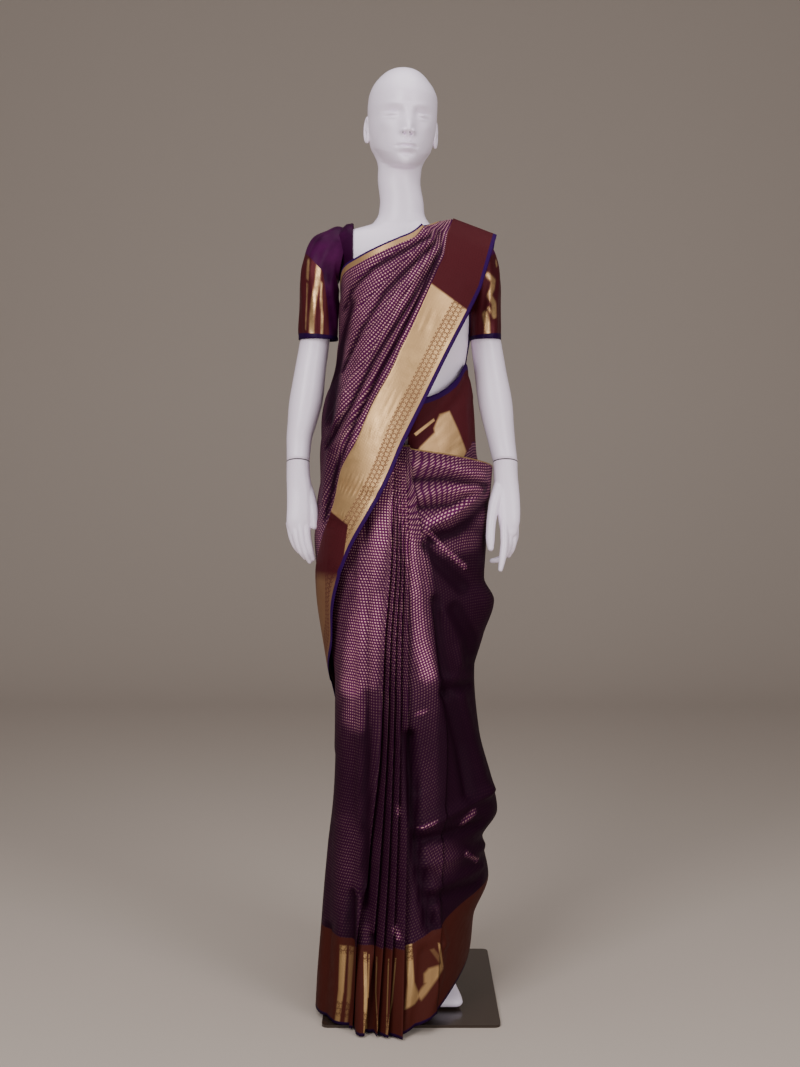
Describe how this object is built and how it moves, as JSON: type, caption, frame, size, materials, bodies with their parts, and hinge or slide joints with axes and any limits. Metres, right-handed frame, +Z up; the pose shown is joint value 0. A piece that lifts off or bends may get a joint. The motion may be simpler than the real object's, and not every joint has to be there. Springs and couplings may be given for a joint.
{
  "type": "silk sari draped on a mannequin",
  "caption": "Silk sari with a wide woven border, draped in the nivi way over its blouse on a standing mannequin.",
  "frame": {"origin": "underside of the base plate, below the middle of the body", "axes": "+Z up, the wearer faces -Y, +X towards the wearer's left"},
  "size_m": [0.4379, 0.507, 1.758],
  "materials": {
    "silk": "purple silk with gold thread",
    "blouse_silk": "violet silk",
    "sleeve_tissue": "maroon and gold tissue",
    "mannequin": "satin white",
    "plate": "dark gloss"
  },
  "bodies": {
    "root": {"sari": "silk", "blouse_body": "blouse_silk", "sleeve_left": "sleeve_tissue", "sleeve_right": "sleeve_tissue", "mannequin_body": "mannequin", "arm_left": "mannequin", "arm_right": "mannequin", "hand_left": "mannequin", "hand_right": "mannequin", "base_plate": "plate"}
  },
  "joints": []
}
